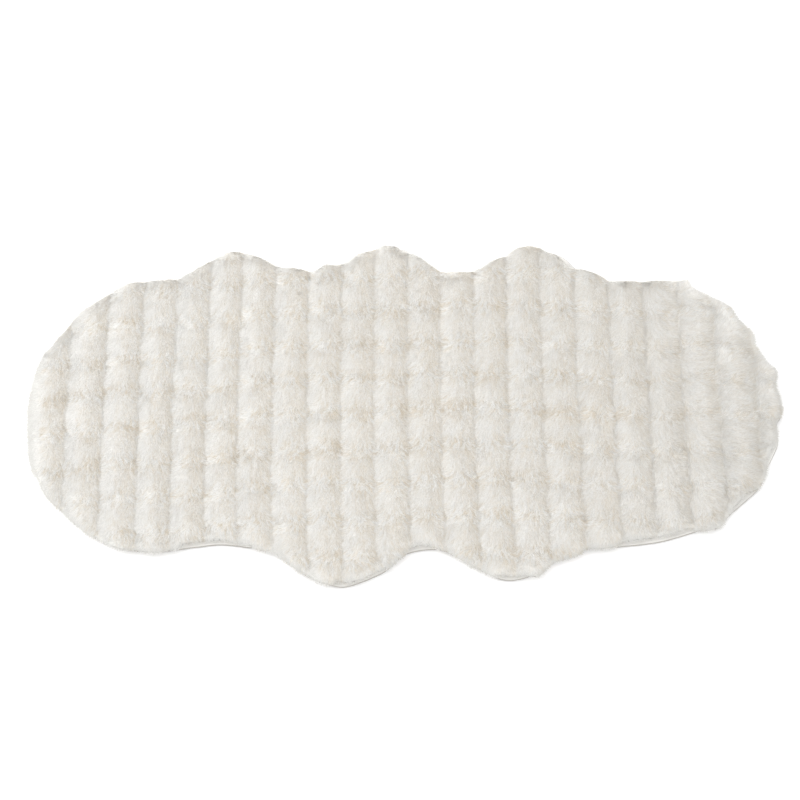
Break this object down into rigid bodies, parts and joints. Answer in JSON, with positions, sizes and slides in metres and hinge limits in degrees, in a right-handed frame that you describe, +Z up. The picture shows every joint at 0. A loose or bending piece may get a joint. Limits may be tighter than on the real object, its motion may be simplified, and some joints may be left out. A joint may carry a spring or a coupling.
{
  "type": "bath runner",
  "caption": "Flat plush bath runner with a wavy edge, pile pressed into ribs and rows of soft bubbles, and a narrow woven tape binding its edge.",
  "frame": {"origin": "centre of the bounding box, at the level of the floor that the mat lies on", "axes": "+X along the mat, +Y to its far edge, +Z up out of the pile"},
  "size_m": [1.2006, 0.593, 0.024],
  "materials": {
    "pile": "off-white plush faux fur, soft and matt",
    "tape": "white woven polyester binding tape, matt"
  },
  "bodies": {
    "root": {"fur_panel": "pile", "edge_binding": "tape"}
  },
  "joints": []
}
